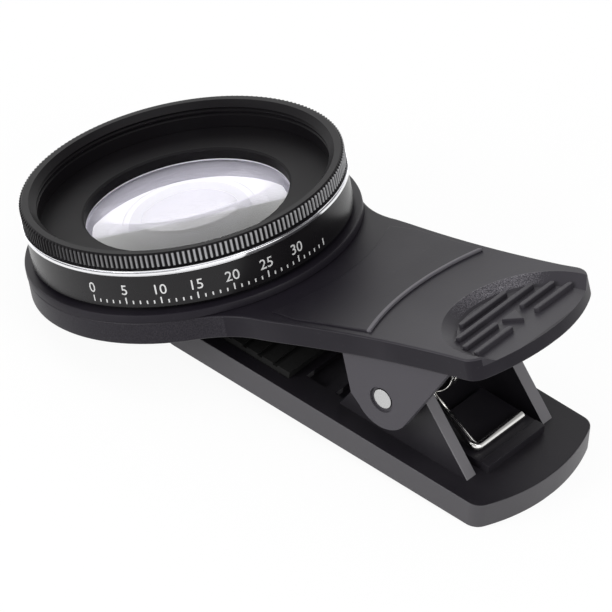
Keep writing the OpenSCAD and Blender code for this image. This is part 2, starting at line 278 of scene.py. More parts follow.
def makeGrainGroup():
    # moulded or blasted skin: fine pits over a slow unevenness
    group, inp, out = newGroup(
        "mouldGrain",
        [("Vector", "NodeSocketVector", (0, 0, 0)), ("Pits per mm", "NodeSocketFloat", 3.0),
         ("Unevenness", "NodeSocketFloat", 0.3)],
        [("Height", "NodeSocketFloat"), ("Mask", "NodeSocketFloat")])
    n, l = group.nodes, group.links
    toMm = n.new("ShaderNodeVectorMath")
    toMm.operation = "SCALE"
    toMm.inputs["Scale"].default_value = 1 / mm
    l.new(inp.outputs["Vector"], toMm.inputs[0])
    k = grainLook
    pits = noise(n, l, toMm.outputs["Vector"], inp.outputs["Pits per mm"], k["pitDetail"], k["pitRough"])
    slow = noise(n, l, toMm.outputs["Vector"], k["slowScale"])
    mix = n.new("ShaderNodeMix")
    mix.data_type = "FLOAT"
    l.new(inp.outputs["Unevenness"], mix.inputs["Factor"])
    l.new(pits, mix.inputs["A"])
    l.new(slow, mix.inputs["B"])
    l.new(mix.outputs["Result"], out.inputs["Height"])
    l.new(slow, out.inputs["Mask"])
    return group


def makeDustGroup():
    # faint dust and handling marks, as a mask
    group, inp, out = newGroup(
        "handlingDust",
        [("Vector", "NodeSocketVector", (0, 0, 0)), ("Amount", "NodeSocketFloat", 0.2)],
        [("Mask", "NodeSocketFloat")])
    n, l, k = group.nodes, group.links, dustLook
    cloud = ramp(n, l, noise(n, l, inp.outputs["Vector"], k["cloudScale"], k["cloudDetail"]), *k["cloud"])
    speck = n.new("ShaderNodeTexVoronoi")
    speck.inputs["Scale"].default_value = k["speckScale"]
    l.new(inp.outputs["Vector"], speck.inputs["Vector"])
    total = maths(n, l, "ADD", cloud, ramp(n, l, speck.outputs["Distance"], *k["speck"]))
    l.new(maths(n, l, "MULTIPLY", total, inp.outputs["Amount"], clamp=True), out.inputs["Mask"])
    return group


grainGroup = makeGrainGroup()
dustGroup = makeDustGroup()


def newMaterial(name):
    mat = bpy.data.materials.new(name)
    mat.use_nodes = True
    nodes, links = mat.node_tree.nodes, mat.node_tree.links
    shader = nodes["Principled BSDF"]
    coord = nodes.new("ShaderNodeTexCoord")
    return mat, nodes, links, shader, coord


def addGroup(nodes, group, **values):
    node = nodes.new("ShaderNodeGroup")
    node.node_tree = group
    for label, value in values.items():
        node.inputs[label.replace("_", " ")].default_value = value
    return node


def addUpperAxes(nodes, links, coord):
    # coordinates in metres along the upper arm's own axes
    seat = nodes.new("ShaderNodeMapping")
    seat.vector_type = "TEXTURE"
    seat.inputs["Location"].default_value = upperOrigin
    seat.inputs["Rotation"].default_value = (0, -tilt, 0)
    links.new(coord.outputs["Object"], seat.inputs["Vector"])
    return seat.outputs["Vector"]


def addUpperParts(nodes, links, coord):
    # the same, as three separate values
    split = nodes.new("ShaderNodeSeparateXYZ")
    links.new(addUpperAxes(nodes, links, coord), split.inputs["Vector"])
    return [split.outputs[k] for k in "XYZ"]


def grainyBlack(name, base, pale, rough, spread, pits, bump, dust, spec=0.5, texturedAndLit=False, wallLight=0.0):
    # fine-grained skin that runs from its base colour to a paler one where a mask says so: dust marks, and painted
    # light from the spark-texture and wall masks
    mat, nodes, links, shader, coord = newMaterial(name)
    grain = addGroup(nodes, grainGroup, Pits_per_mm=pits)
    marks = addGroup(nodes, dustGroup, Amount=dust)
    for g in (grain, marks):
        links.new(coord.outputs["Object"], g.inputs["Vector"])
    height, dustAndPaintedLightMask = grain.outputs["Height"], marks.outputs["Mask"]
    if texturedAndLit:
        relief, flecksAndLight = addSparkTextureAndLight(nodes, links, coord)
        height = maths(nodes, links, "ADD", height, relief)
        dustAndPaintedLightMask = maths(nodes, links, "MAXIMUM", dustAndPaintedLightMask, flecksAndLight)
    if wallLight:
        dustAndPaintedLightMask = maths(nodes, links, "MAXIMUM", dustAndPaintedLightMask, addPaintedWallLight(nodes, links, coord, wallLight))
    tone = mixColour(nodes, links, dustAndPaintedLightMask, base, pale)
    bumps = nodes.new("ShaderNodeBump")
    bumps.inputs["Strength"].default_value = bump
    bumps.inputs["Distance"].default_value = 0.08 * mm
    links.new(height, bumps.inputs["Height"])
    links.new(bumps.outputs["Normal"], shader.inputs["Normal"])
    links.new(tone, shader.inputs["Base Color"])
    roughness = ramp(nodes, links, grain.outputs["Mask"], 0, 1, rough - spread, rough + spread)
    links.new(roughness, shader.inputs["Roughness"])
    shader.inputs["Specular IOR Level"].default_value = spec
    return mat, nodes, links, shader, coord, tone


# painted light on the lower arm: which upright faces are made paler, in mm and normals
paintedWallLight = dict(upright=0.7, sideY=10.5, tailX=35.5, earFacing=0.3, earY=5.6, earGain=2.4)  # mm and normals


def addPaintedWallLight(nodes, links, coord, amount):
    # painted light: the lower arm's upright outer sides made paler and, stronger, its ears' rear edges, as if lit
    k = paintedWallLight
    place, face = nodes.new("ShaderNodeSeparateXYZ"), nodes.new("ShaderNodeSeparateXYZ")
    links.new(coord.outputs["Object"], place.inputs["Vector"])
    links.new(nodes.new("ShaderNodeNewGeometry").outputs["Normal"], face.inputs["Vector"])
    times = lambda a, b: maths(nodes, links, "MULTIPLY", a, b)
    over = lambda a, b: maths(nodes, links, "GREATER_THAN", a, b)
    most = lambda a, b: maths(nodes, links, "MAXIMUM", a, b)
    upright = maths(nodes, links, "LESS_THAN", maths(nodes, links, "ABSOLUTE", face.outputs["Z"]), k["upright"])
    fromMiddle = maths(nodes, links, "ABSOLUTE", place.outputs["Y"])
    tail = over(place.outputs["X"], k["tailX"] * mm)
    earEdges = times(over(face.outputs["X"], k["earFacing"]), over(fromMiddle, k["earY"] * mm))
    earEdges = times(earEdges, maths(nodes, links, "SUBTRACT", k["earGain"], times(tail, k["earGain"])))
    outside = most(most(over(fromMiddle, k["sideY"] * mm), tail), earEdges)
    return times(times(upright, outside), amount)


# spark texture and painted light on the upper arm, in mm
skin = dict(
    grain=6500, flecks=(0.32, 0.72), relief=5.0,
    rimRadius=20.5, rimEnd=16.5, rimLow=0.1, rimHigh=2.95, rimPale=0.1, rimRelief=0.5,
    wallIn=9.25, wallOut=10.7, wallLow=1.9, wallX=(-3.5, -7), wallY=(-5, 3),
    endX=(31, 47), endStop=56.3, endTop=2.8, endFloor=1.85, endLight=0.15,
    lineHalf=0.42, lineStop=40, lineLow=3.02, lineHighlight=0.6, earTop=-0.3, earLight=0.3)


def addSparkTextureAndLight(nodes, links, coord):
    # spark-eroded texture on the disc's side and the recess's wall: its relief, and the mask of all that is paler;
    # besides the texture's flecks that mask holds painted light: upward faces lighter towards the thumb end, a
    # painted highlight along the panel's bead, and all below the plate, the ears, made paler
    k = skin
    x, y, z = addUpperParts(nodes, links, coord)
    times = lambda a, b: maths(nodes, links, "MULTIPLY", a, b)
    most = lambda a, b: maths(nodes, links, "MAXIMUM", a, b)
    above = lambda a, b: maths(nodes, links, "GREATER_THAN", a, b * mm)
    below = lambda a, b: maths(nodes, links, "LESS_THAN", a, b * mm)
    less = lambda a, b: maths(nodes, links, "SUBTRACT", a, b * mm)
    fade = lambda a, ends: ramp(nodes, links, a, ends[0] * mm, ends[1] * mm)
    coarse = noise(nodes, links, coord.outputs["Object"], k["grain"])
    rim = times(times(above(distance(nodes, links, x, y), k["rimRadius"]), below(x, k["rimEnd"])),
                times(below(z, k["rimHigh"]), above(z, k["rimLow"])))
    fromThumb = less(x, upper["recessX"])
    away = distance(nodes, links, fromThumb, y)
    wall = times(times(below(away, k["wallOut"]), above(away, k["wallIn"])),
                 times(fade(fromThumb, k["wallX"]), above(z, k["wallLow"])))
    wall = times(wall, fade(y, k["wallY"]))
    # painted light: upward faces lighter towards the thumb end
    upFace = most(above(z, k["endTop"]), times(below(away, k["wallOut"]), above(z, k["endFloor"])))
    thumbEndLight = times(times(fade(x, k["endX"]), times(upFace, k["endLight"])), below(x, k["endStop"]))
    # painted highlight along the panel's bead
    fromBow = less(x, upper["panelX"] + upper["panelBow"])
    offLine = maths(nodes, links, "ABSOLUTE", less(distance(nodes, links, fromBow, y), upper["panelBow"]))
    line = times(times(below(offLine, k["lineHalf"]), below(x, k["lineStop"])),
                 times(above(z, k["lineLow"]), k["lineHighlight"]))
    # painted light: all below the plate's underside, the ears, made paler
    ears = times(below(z, k["earTop"]), k["earLight"])
    relief = times(times(coarse, maths(nodes, links, "ADD", times(rim, k["rimRelief"]), wall)), k["relief"])
    flecked = maths(nodes, links, "ADD", times(rim, k["rimPale"]), wall, clamp=True)
    flecks = times(ramp(nodes, links, coarse, *k["flecks"]), flecked)
    return relief, most(flecks, most(ears, most(line, thumbEndLight)))


# the upper arm's skin: spark-texture flecks and painted light
satinPlastic = grainyBlack("satinPlastic", base=(0.0100, 0.0084, 0.0124), pale=(0.17, 0.163, 0.180), rough=0.42,
                           spread=0.05, pits=2.2, bump=0.12, dust=0.05, spec=0.15, texturedAndLit=True)[0]
lowerPlastic = grainyBlack("lowerPlastic", base=(0.0095, 0.0082, 0.0112), pale=(0.15, 0.145, 0.155), rough=0.42,
                           # the lower arm's skin, with painted light on its outer sides and its ears' rear edges
                           spread=0.05, pits=2.2, bump=0.12, dust=0.05, spec=0.26, wallLight=0.38)[0]
padRubber = grainyBlack("padRubber", base=(0.010, 0.010, 0.010), pale=(0.04, 0.04, 0.04), rough=0.78,
                        spread=0.06, pits=4.0, bump=0.35, dust=0.3, spec=0.15)[0]
# spacer and rear retainer painted near-white, standing in for light seen through the lens
paintedLightSpacer = grainyBlack("paintedLightSpacer", base=(0.95, 0.95, 0.99), pale=(0.7, 0.7, 0.74), rough=0.5,
                         spread=0.05, pits=5.0, bump=0.05, dust=0.1, spec=0.4)[0]
markPaint = grainyBlack("markPaint", base=(0.60, 0.60, 0.60), pale=(0.42, 0.42, 0.42), rough=0.6,
                        spread=0.05, pits=6.0, bump=0.08, dust=0.5, spec=0.3)[0]
anodised = dict(base=(0.0055, 0.0048, 0.0058), pale=(0.02, 0.02, 0.022), spread=0.04, pits=6.0, bump=0.05, dust=0.15)
# painted highlight on the knurl's crests: the crest radii and the x range in mm over which it grows, and its colour
knurlHighlight = dict(crest=(19.86, 20.03), along=(-5, 16), colour=(0.34, 0.34, 0.35))
# near-white painted inside the lens cell, standing in for light seen through the glass
cell = dict(radius=18.6, low=0.5, colour=(0.95, 0.95, 0.99))


def makeRingBlack():
    # black anodising, with a painted highlight on the crests of the knurling that grows towards +x
    k = knurlHighlight
    mat, nodes, links, shader, coord, tone = grainyBlack("ringBlack", rough=0.38, spec=0.10, **anodised)
    x, y, _ = addUpperParts(nodes, links, coord)
    crest = ramp(nodes, links, distance(nodes, links, x, y), *[r * mm for r in k["crest"]])
    along = ramp(nodes, links, x, *[v * mm for v in k["along"]])
    crestHighlight = mixColour(nodes, links, maths(nodes, links, "MULTIPLY", crest, along), tone, k["colour"])
    links.new(crestHighlight, shader.inputs["Base Color"])
    return mat


def makeCellBlack(name, rough, spec, high):
    # black anodising outside; inside the cell, below a height in mm, painted near-white, standing in for the light
    # seen through the lens
    mat, nodes, links, shader, coord, tone = grainyBlack(name, rough=rough, spec=spec, **anodised)
    x, y, z = addUpperParts(nodes, links, coord)
    within = maths(nodes, links, "LESS_THAN", distance(nodes, links, x, y), cell["radius"] * mm)
    under = maths(nodes, links, "LESS_THAN", z, high * mm)
    over = maths(nodes, links, "GREATER_THAN", z, cell["low"] * mm)
    inside = maths(nodes, links, "MULTIPLY", maths(nodes, links, "MULTIPLY", within, under), over)
    links.new(mixColour(nodes, links, inside, tone, cell["colour"]), shader.inputs["Base Color"])
    return mat


ringBlack = makeRingBlack()
barrelBlack = makeCellBlack("barrelBlack", rough=0.27, spec=0.32, high=7.2)
baffleBlack = makeCellBlack("baffleBlack", rough=0.5, spec=0.12, high=7.02)


def turnedMetal(name, base, rough, lines, bump):
    # bright metal with fine lathe lines about the lens axis
    mat, nodes, links, shader, coord = newMaterial(name)
    rings = nodes.new("ShaderNodeTexWave")
    rings.wave_type, rings.rings_direction = "RINGS", "Z"
    rings.inputs["Scale"].default_value = lines
    rings.inputs["Distortion"].default_value = 0.4
    relief = nodes.new("ShaderNodeBump")
    relief.inputs["Strength"].default_value = bump
    relief.inputs["Distance"].default_value = 0.03 * mm
    marks = addGroup(nodes, dustGroup, Amount=0.12)
    links.new(addUpperAxes(nodes, links, coord), rings.inputs["Vector"])
    links.new(coord.outputs["Object"], marks.inputs["Vector"])
    tone = mixColour(nodes, links, marks.outputs["Mask"], base, tuple(c * 0.8 for c in base))
    links.new(tone, shader.inputs["Base Color"])
    links.new(ramp(nodes, links, rings.outputs["Fac"], 0, 1, rough * 0.8, rough * 1.3), shader.inputs["Roughness"])
    links.new(rings.outputs["Fac"], relief.inputs["Height"])
    links.new(relief.outputs["Normal"], shader.inputs["Normal"])
    shader.inputs["Metallic"].default_value = 1.0
    return mat


brightCut = turnedMetal("brightCut", base=(0.92, 0.92, 0.94), rough=0.12, lines=900, bump=0.05)
pinSteel = turnedMetal("pinSteel", base=(0.56, 0.56, 0.56), rough=0.30, lines=1100, bump=0.6)
nickelWire = turnedMetal("nickelWire", base=(0.80, 0.79, 0.77), rough=0.14, lines=500, bump=0.05)


def coatedGlass(name, coatIor, clear=1.0, base=(0.96, 0.945, 1.0)):
    # glass with a coating and the faint violet of it; below 1, clear makes it milky
    mat, nodes, links, shader, coord = newMaterial(name)
    marks = addGroup(nodes, dustGroup, Amount=0.04)
    links.new(coord.outputs["Object"], marks.inputs["Vector"])
    links.new(ramp(nodes, links, marks.outputs["Mask"], 0, 1, 0.0, 0.12), shader.inputs["Roughness"])
    shader.inputs["Base Color"].default_value = (*base, 1)
    shader.inputs["Transmission Weight"].default_value = clear
    shader.inputs["IOR"].default_value = 1.5
    shader.inputs["Coat Weight"].default_value = 1.0
    shader.inputs["Coat IOR"].default_value = coatIor
    shader.inputs["Coat Roughness"].default_value = 0.02
    return mat


lensGlass = coatedGlass("lensGlass", 1.75)
# the rear lens made milky and pale: painted light, brightening what shows through it
rearGlass = coatedGlass("rearGlass", 1.6, 0.3, (0.86, 0.84, 0.95))
print("stage: materials ready")


def sideY(x):
    return upper["waist"] + upper["sideBow"] - math.sqrt(upper["sideBow"] ** 2 - (x - upper["sideMidX"]) ** 2)


def armPlan(endBow, corner):
    # half outline: fillet beside the disc, long side, corner and end
    u = upper
    neckY = sideY(u["neckX"])
    neckX = math.sqrt((u["discRadius"] + u["fillet"]) ** 2 - (neckY + u["fillet"]) ** 2)
    neckTurn = 180 + math.degrees(math.atan2(neckY + u["fillet"], neckX))
    cornerY = sideY(u["thumbX"] - u["cornerBack"]) - corner
    cornerX = u["thumbX"] - endBow + math.sqrt((endBow - corner) ** 2 - cornerY ** 2)
    endTurn = math.degrees(math.asin(cornerY / (endBow - corner)))
    half = arc(neckX, neckY + u["fillet"], u["fillet"], neckTurn, 270, 10)
    half += [(x, sideY(x)) for x in [neckX + (cornerX - neckX) * i / 12 for i in range(1, 12)]]
    half += arc(cornerX, cornerY, corner, 90, endTurn, 8)
    half += arc(u["thumbX"] - endBow, 0, endBow, endTurn * 0.9, endTurn * 0.1, 8)
    return half, neckTurn - 180


def fullArmPlan():
    # the far and the near half, whose corners differ, closed round the disc
    far, discTurn = armPlan(upper["endBow"], upper["corner"])
    near, _ = armPlan(upper["nearBow"], upper["nearCorner"])
    disc = arc(0, 0, upper["discRadius"], 360 - discTurn, discTurn, 120)
    return far + [(x, -y) for x, y in reversed(near)] + disc[1:-1]


def cutScoop(arm, floor):
    # thumb recess with a sloping wall, cut before anything else is added
    u = upper
    inner = u["recessR"] * u["floorShrink"]
    end = u["recessX"] + u["recessReach"]
    scoop = arc(u["recessX"], 0, inner, 90, 270, 48) + [(end, -inner), (end, inner)]
    grow = 2 / u["floorShrink"] - 1
    tool = raisePlan("scoop", scoop, floor, floor + 2 * u["recessDepth"], grow, (u["recessX"], 0))
    combine(arm, tool, "DIFFERENCE")


def addLip(arm):
    u = upper
    edge, foot, top = u["lipRadius"], u["lipRadius"] - u["lipStep"], u["lipTop"]
    profile = [(u["stubRadius"], u["lipFoot"]), (foot, u["lipFoot"]), (foot, u["height"] + 0.08),
               (edge, u["height"] + 0.12), (edge, top - 0.28), (edge - 0.07, top - 0.08), (edge - 0.25, top),
               (u["stubRadius"], top)]
    combine(arm, turnProfile("lip", profile, 240))


def addPanel(arm):
    # raised panel between the lens and the thumb recess, with a bead along its right edge
    u = upper
    spread = lambda y: [y - 2 * y * i / 16 for i in range(17)]
    left = [(math.sqrt(u["panelLensR"] ** 2 - y * y), y) for y in spread(u["panelLeftY"])]
    bow = u["panelBow"]
    right = [(u["panelX"] + bow - math.sqrt(bow ** 2 - y * y), y) for y in spread(-u["panelRightY"])]
    near = [(x, -sideY(x) + u["panelIn"]) for x in (26, 30, 34)]
    far = [(x, sideY(x) - u["panelIn"]) for x in (34, 30, 26)]
    top = u["height"] + u["panelRise"]
    panel = raisePlan("panel", left + near + right + far, u["height"] - u["panelFoot"], top)
    combine(arm, soften(panel, u["panelEdge"]))
    half = u["beadHalf"]
    bead = [(x - half, y) for x, y in right] + [(x + half, y) for x, y in reversed(right)]
    strip = raisePlan("bead", bead, top - u["beadFoot"], top + u["beadRise"])
    combine(arm, soften(strip, u["beadEdge"]))


def addRidges(arm, floor):
    # ridges and a small arrow on the recess's floor
    u = upper
    w, foot, split = u["ridgeWidth"] / 2, floor - u["ridgeFoot"], u["splitHalf"]
    for x, reach in u["ridges"]:
        spans = [(-reach, reach)] if x < u["splitFrom"] else [(-reach, -split), (split, reach)]
        for a, b in spans:
            plan = arc(x, b - w, w, 0, 180, 6) + arc(x, a + w, w, 180, 360, 6)
            combine(arm, soften(raisePlan("ridge", plan, foot, floor + u["ridgeRise"]), u["ridgeEdge"]))
    arrow = raisePlan("arrow", u["arrow"], foot, floor + u["ridgeRise"] * u["arrowShare"])
    combine(arm, soften(arrow, u["arrowEdge"]))


def cutPockets(arm):
    # underside pockets with ribs left standing
    u = upper
    reach = u["earY"] - u["earThick"] - 0.2
    for a, b in u["pockets"]:
        for s in (1, -1):
            plan = box(a, b, s * u["ribHalf"], s * reach)
            combine(arm, raisePlan("pocket", plan, -1, u["pocketDepth"]), "DIFFERENCE")


def addEars(arm):
    # ears with a boss inside, bored for the pin and sunk round its ends
    u = upper
    hx, hz = clip["hingeX"], -clip["hingeDrop"]
    front, back = hx - u["earFront"], u["earBack"]
    ear = [(front, u["earRoot"]), (front, hz)] + arc(hx, hz, u["earRound"], 200, 318, 16)
    ear += [(back, 0), (back, u["earRoot"])]
    for s in (1, -1):
        inner, outer = sorted((s * (u["earY"] - u["earThick"]), s * u["earY"]))
        combine(arm, soften(raiseSide("ear", ear, inner, outer), u["earEdge"], angle=50))
        a, b = sorted((s * u["bossY"], s * (u["earY"] - u["bossIn"])))
        combine(arm, shift(rod("boss", u["bossRadius"], a, b), hx, 0, hz))
    combine(arm, shift(rod("bore", u["boreRadius"], -15, 15, 44), hx, 0, hz), "DIFFERENCE")
    for s in (1, -1):
        a, b = sorted((s * (u["earY"] - u["sinkDepth"]), s * 12))
        combine(arm, shift(rod("sink", u["sinkRadius"], a, b, 52), hx, 0, hz), "DIFFERENCE")


def makeUpperArm():
    u = upper
    arm = soften(raisePlan("upperArm", fullArmPlan(), 0, u["height"]), u["edge"], 3)
    floor = u["height"] - u["recessDepth"]
    cutScoop(arm, floor)
    addLip(arm)
    addPanel(arm)
    addRidges(arm, floor)
    cutPockets(arm)
    addEars(arm)
    stub = turnProfile("stub", [(0, -2), (u["stubRadius"], -2), (u["stubRadius"], 8), (0, 8)], 96, closed=False)
    combine(arm, stub, "DIFFERENCE")
    paint(arm, satinPlastic)
    return setDown(arm, toUpper, "upper_clip", "arm_plastic", "upper_arm")


makeUpperArm()
print("stage: upper arm")

lower = dict(
    plateHeight=3.5, halfWidth=11.12, jaw=34.2, tail=18.4, tailBow=25, corner=2.0, jawCorner=3, edge=0.16,
    earY=8.2, earThick=1.8, earEdge=0.15, bossRadius=3.8, footX=11.9, frontX=-8.0, boreRadius=1.36,
    seatX=3, seatTop=-6.25, seatY=5.4, seatFoot=0.5, seatEdge=0.12, stopX=11.5, stopLength=1.4, stopRise=0.15,
    bedIn=2, bedLength=17, bedDepth=0.6, slotX=-14, slotStep=4.5, slotWidth=3, slotIn=4, slotDepth=0.8)


def platePlan():
    w = lower
    cornerY = w["halfWidth"] - w["corner"]
    cornerX = w["tail"] - w["tailBow"] + math.sqrt((w["tailBow"] - w["corner"]) ** 2 - cornerY ** 2)
    turn = math.degrees(math.asin(cornerY / (w["tailBow"] - w["corner"])))
    half = arc(-w["jaw"] + w["jawCorner"], w["halfWidth"] - w["jawCorner"], w["jawCorner"], 180, 90, 12)
    half += arc(cornerX, cornerY, w["corner"], 90, turn, 8)
    half += arc(w["tail"] - w["tailBow"], 0, w["tailBow"], turn * 0.9, turn * 0.1, 8)
    return mirrorPlan(half)


def makeLowerArm():
    w = lower
    bottom = -clip["hingeHeight"]
    top = bottom + w["plateHeight"]
    arm = soften(raisePlan("lowerArm", platePlan(), bottom, top), w["edge"], 3)
    # two ears for the pin
    ear = [(w["frontX"], top - 1), (w["frontX"], top)] + arc(0, 0, w["bossRadius"], 138, 41, 16)
    ear += [(w["footX"], top), (w["footX"], top - 1)]
    for s in (1, -1):
        a, b = sorted((s * (w["earY"] - w["earThick"]), s * w["earY"]))
        combine(arm, soften(raiseSide("ear", ear, a, b), w["earEdge"], angle=50))
    # the seat under the spring's leg and the stop behind it
    seat = box(w["seatX"], w["stopX"], -w["seatY"], w["seatY"])
    foot = top - w["seatFoot"]
    combine(arm, soften(raisePlan("seat", seat, foot, w["seatTop"]), w["seatEdge"], angle=50))
    stop = box(w["stopX"] - 0.05, w["stopX"] + w["stopLength"], -w["seatY"], w["seatY"])
    combine(arm, soften(raisePlan("stop", stop, foot, w["seatTop"] + w["stopRise"]), w["seatEdge"], angle=50))
    combine(arm, rod("bore", w["boreRadius"], -15, 15), "DIFFERENCE")
    # the jaw pad's bed, and three slots between it and the ears
    front, side = -w["jaw"] + w["bedIn"], w["halfWidth"] - w["bedIn"]
    bed = box(front, front + w["bedLength"], -side, side)
    combine(arm, raisePlan("bed", bed, top - w["bedDepth"], top + 1), "DIFFERENCE")
    for i in range(3):
        x, y = w["slotX"] + i * w["slotStep"], w["halfWidth"] - w["slotIn"]
        slot = box(x, x + w["slotWidth"], -y, y)
        combine(arm, raisePlan("slot", slot, top - w["slotDepth"], top + 1), "DIFFERENCE")
    paint(arm, lowerPlastic)
    return setDown(arm, toLower, "lower_clip", "arm_plastic", "lower_arm")


makeLowerArm()
print("stage: lower arm")

spring = dict(
    wire=0.55, coilRadius=3.2, turns=4, gap=0.12, start=-82, perTurn=28,
    legX=9.95, legY=4.4, bend=1.1, upperLeg=6.5, legRise=6.7)
pin = dict(radius=1.35, inset=0.15, edge=0.2)


def roundCorner(a, b, c, r, count=6):
    # points of a rounded corner at b
    a, b, c = Vector(a), Vector(b), Vector(c)
    u, v = (a - b).normalized(), (c - b).normalized()
    start, end = b + u * r, b + v * r
    return [tuple(start.lerp(b, t).lerp(b.lerp(end, t), t)) for t in [i / count for i in range(count + 1)]]


def makeSpring():
    s = spring
    pitch = 2 * s["wire"] + s["gap"]
    halfY = (s["turns"] - 1) * pitch / 2
    legZ = lower["seatTop"] + s["wire"]
    steps = int((s["turns"] - 0.5) * s["perTurn"])
    coil = []
    for i in range(steps + 1):
        a = math.radians(s["start"]) + math.tau * i / s["perTurn"]
        coil.append((s["coilRadius"] * math.cos(a), -halfY + 2 * halfY * i / steps, s["coilRadius"] * math.sin(a)))
    near, far = (s["legX"], -s["legY"], legZ), (s["legX"], s["legY"], legZ)
    path = [far] + roundCorner(far, near, coil[0], s["bend"]) + coil
    # the upper leg ends under the closed upper arm
    last = Vector(coil[-1])
    closed = math.radians(clip["closedAngle"])
    rise, leg = s["legRise"], s["upperLeg"]
    tip = Vector((math.sin(closed) * rise + math.cos(closed) * leg, last.y,
                  math.cos(closed) * rise - math.sin(closed) * leg))
    path += [tuple(last.lerp(tip, 0.5)), tuple(tip)]
    wire = drawLine("springWire", path, closed=False)
    only(wire)
    bpy.ops.object.convert(target="CURVE")
    wire = bpy.context.active_object
    wire.data.bevel_depth, wire.data.bevel_resolution = s["wire"] * mm, 5
    wire.data.use_fill_caps = True
    bpy.ops.object.convert(target="MESH")
    wire = bpy.context.active_object
    paint(wire, nickelWire)
    return setDown(wire, toLower, "lower_clip", "spring_steel", "torsion_spring")


def makePin():
    end = upper["earY"] - pin["inset"]
    bar = soften(rod("hingePin", pin["radius"], -end, end, 64), pin["edge"])
    paint(bar, pinSteel)
    return setDown(bar, toLower, "lower_clip", "pin_steel", "hinge_pin")


makeSpring()
makePin()
print("stage: pin and spring")

# heights along the lens axis and radii; body, trim and ring are the undersides of the three turned parts
lens = dict(
    body=4.55, trim=8.95, ring=9.8, top=11.9, bodyR=19.9, trimR=20.3, ringR=20.05, threadR=18.1, glassR=12.7,
    stubR=8.5, stubLow=0.3, stubWall=1.5, boreWall=0.7, boreHigh=2.6, seatR=15.4, floor=5.0, edge=0.12, neckIn=0.8,
    baffle=8.45, baffleHeight=1.5, teeth=190, toothDepth=0.28, pitch=0.65, threadDepth=0.3, threadTop=0.6,
    glassEdge=1.0, glassSeat=1.5, frontRise=1.7, backRise=0.9)
cellR = lens["threadR"] + 0.25
edgeLow = lens["baffle"] - lens["baffleHeight"] - lens["glassEdge"]


def makeBarrel():
    v = lens
    stub, body, edge, seat = v["stubR"], v["bodyR"], v["edge"], edgeLow - 0.4
    profile = [(stub - v["stubWall"], v["stubLow"]), (stub - 0.3, v["stubLow"]), (stub, v["stubLow"] + 0.3),
               (stub, upper["lipTop"]), (body - v["neckIn"], upper["lipTop"]), (body - v["neckIn"], v["body"]),
               (body - edge, v["body"]), (body, v["body"] + edge), (body, v["trim"]), (cellR, v["trim"]),
               (cellR, seat), (v["seatR"], seat), (v["seatR"], v["floor"]), (stub - v["boreWall"], v["floor"]),
               (stub - v["boreWall"], v["boreHigh"]), (stub - v["stubWall"], v["boreHigh"])]
    obj = turnProfile("barrel", profile, 240)
    paint(obj, barrelBlack)
    return setDown(obj, toUpper, "upper_clip", "black_alloy", "lens_barrel")


# steps of the trim ring's outside, in from its radius and up from its foot
trimSteps = ((0.38, 0), (0.38, 0.2), (0.05, 0.24), (0, 0.3), (0, 0.58), (0.05, 0.62), (0.28, 0.64), (0.28, 0.72),
             (0.1, 0.75))


def makeTrimRing():
    v = lens
    profile = [(cellR, v["trim"])] + [(v["trimR"] - into, v["trim"] + up) for into, up in trimSteps]
    profile += [(v["trimR"] - trimSteps[-1][0], v["ring"]), (cellR, v["ring"])]
    obj = turnProfile("trimRing", profile, 240)
    paint(obj, brightCut)
    return setDown(obj, toUpper, "upper_clip", "bright_alloy", "trim_ring")


def makeFrontRing():
    # plain lathe shape first, then every other rib of the wall is pushed out
    v = lens
    root = v["ringR"] - v["toothDepth"]
    top, ring, bore, pitch = v["top"], v["ring"], v["threadR"], v["pitch"]
    inside = []
    for i in range(int((top - v["threadTop"] - 0.05 - ring) / pitch)):
        z = top - v["threadTop"] - i * pitch
        inside += [(bore, z - 0.1), (bore + v["threadDepth"], z - pitch / 2), (bore, z - pitch + 0.1)]
    foot = v["baffle"] + 0.05
    profile = [(bore, foot), (bore + 0.2, foot), (bore + 0.2, ring), (root - 0.2, ring), (root, ring + 0.25),
               (root, ring + 0.35), (root, top - 0.2), (root, top - 0.1), (root - 0.12, top), (bore + 0.75, top),
               (bore + 0.35, top - 0.4)]
    obj = turnProfile("frontRing", profile + inside, v["teeth"] * 4)
    bpy.ops.object.mode_set(mode="EDIT")
    bpy.ops.mesh.select_all(action="DESELECT")
    bpy.ops.mesh.select_mode(type="VERT")
    mesh = bmesh.from_edit_mesh(obj.data)
    for vert in mesh.verts:
        x, y, z = vert.co / mm
        onWall = abs(math.hypot(x, y) - root) < 0.01 and ring + 0.3 < z < top - 0.15
        column = round(math.atan2(y, x) / math.tau * v["teeth"] * 4) % 4
        vert.select = onWall and column < 2
    mesh.select_flush(True)
    bmesh.update_edit_mesh(obj.data)
    grow = v["ringR"] / root
    bpy.ops.transform.resize(value=(grow, grow, 1), center_override=(0, 0, 0))
    bpy.ops.object.mode_set(mode="OBJECT")
    paint(obj, ringBlack)
    return setDown(obj, toUpper, "upper_clip", "black_alloy", "front_ring")


def makeRetainingRing():
    v = lens
    glass, z = v["glassR"], v["baffle"]
    low = z - v["baffleHeight"]
    profile = [(glass, low), (cellR, low), (cellR, z), (glass + 0.25, z), (glass, z - 0.2)]
    obj = turnProfile("retainingRing", profile, 240)
    paint(obj, baffleBlack)
    return setDown(obj, toUpper, "upper_clip", "black_alloy", "retaining_ring")


def sphereRise(r, full, deep):
    # height at radius r of a spherical cap, full in radius and deep at the middle
    ball = (full * full + deep * deep) / (2 * deep)
    return math.sqrt(ball ** 2 - r * r) - math.sqrt(ball ** 2 - full * full)


